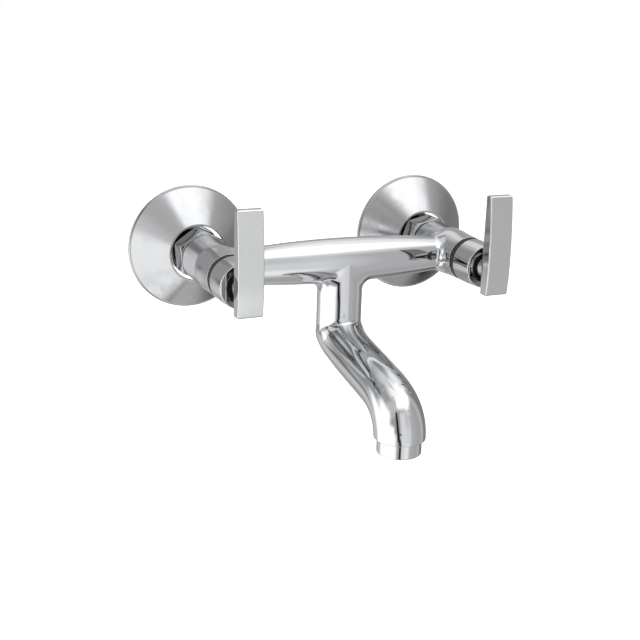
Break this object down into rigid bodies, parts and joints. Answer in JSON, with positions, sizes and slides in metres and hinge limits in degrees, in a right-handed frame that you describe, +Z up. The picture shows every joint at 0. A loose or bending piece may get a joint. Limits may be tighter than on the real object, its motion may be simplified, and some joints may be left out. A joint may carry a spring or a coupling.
{
  "type": "wall mixer tap",
  "caption": "Exposed wall mixer tap with two upright flat levers, hexagonal unions on conical wall flanges, a cross barrel and a fixed bent spout with an aerator.",
  "frame": {"origin": "on the wall plane, midway between the two inlet axes", "axes": "+X along the cross barrel to the user's right, +Y into the wall, +Z up"},
  "size_m": [0.225, 0.1728, 0.131],
  "materials": {
    "chrome": "polished",
    "brass": "satin",
    "rubber": "matte",
    "fibre": "matte",
    "ceramic": "satin",
    "steel": "satin",
    "plastic": "satin",
    "black_plastic": "satin"
  },
  "bodies": {
    "mixer": {"mixer_body": "chrome", "spout": "chrome", "aerator_housing": "chrome", "aerator_insert": "plastic", "aerator_washer": "rubber", "left_connecting_leg": "brass", "left_inlet_washer": "rubber", "left_strainer": "steel", "left_union_nut": "chrome", "left_seat_seal": "rubber", "left_fixed_disc": "ceramic", "left_cartridge_body": "brass", "left_bonnet_washer": "fibre", "left_bonnet_ring": "rubber", "left_bonnet": "chrome", "left_hub_ring": "black_plastic", "right_connecting_leg": "brass", "right_inlet_washer": "rubber", "right_strainer": "steel", "right_union_nut": "chrome", "right_seat_seal": "rubber", "right_fixed_disc": "ceramic", "right_cartridge_body": "brass", "right_bonnet_washer": "fibre", "right_bonnet_ring": "rubber", "right_bonnet": "chrome", "right_hub_ring": "black_plastic"},
    "left_lever": {"left_handle": "chrome", "left_grub_screw": "steel", "left_spindle": "brass", "left_spindle_orings": "rubber", "left_spindle_clip": "steel", "left_moving_disc": "ceramic"},
    "left_flange": {"left_wall_flange": "chrome"},
    "right_lever": {"right_handle": "chrome", "right_grub_screw": "steel", "right_spindle": "brass", "right_spindle_orings": "rubber", "right_spindle_clip": "steel", "right_moving_disc": "ceramic"},
    "right_flange": {"right_wall_flange": "chrome"}
  },
  "joints": [
    {"name": "left_lever_turn", "type": "hinge", "parent": "mixer", "child": "left_lever", "pos_m": [-0.075, -0.1, 0], "axis": [0, -1, 0], "range_deg": [0, 90]},
    {"name": "left_flange_slide", "type": "slide", "parent": "mixer", "child": "left_flange", "axis": [0, -1, 0], "range_m": [0, 0.025]},
    {"name": "right_lever_turn", "type": "hinge", "parent": "mixer", "child": "right_lever", "pos_m": [0.075, -0.1, 0], "axis": [0, 1, 0], "range_deg": [0, 90]},
    {"name": "right_flange_slide", "type": "slide", "parent": "mixer", "child": "right_flange", "axis": [0, -1, 0], "range_m": [0, 0.025]}
  ]
}
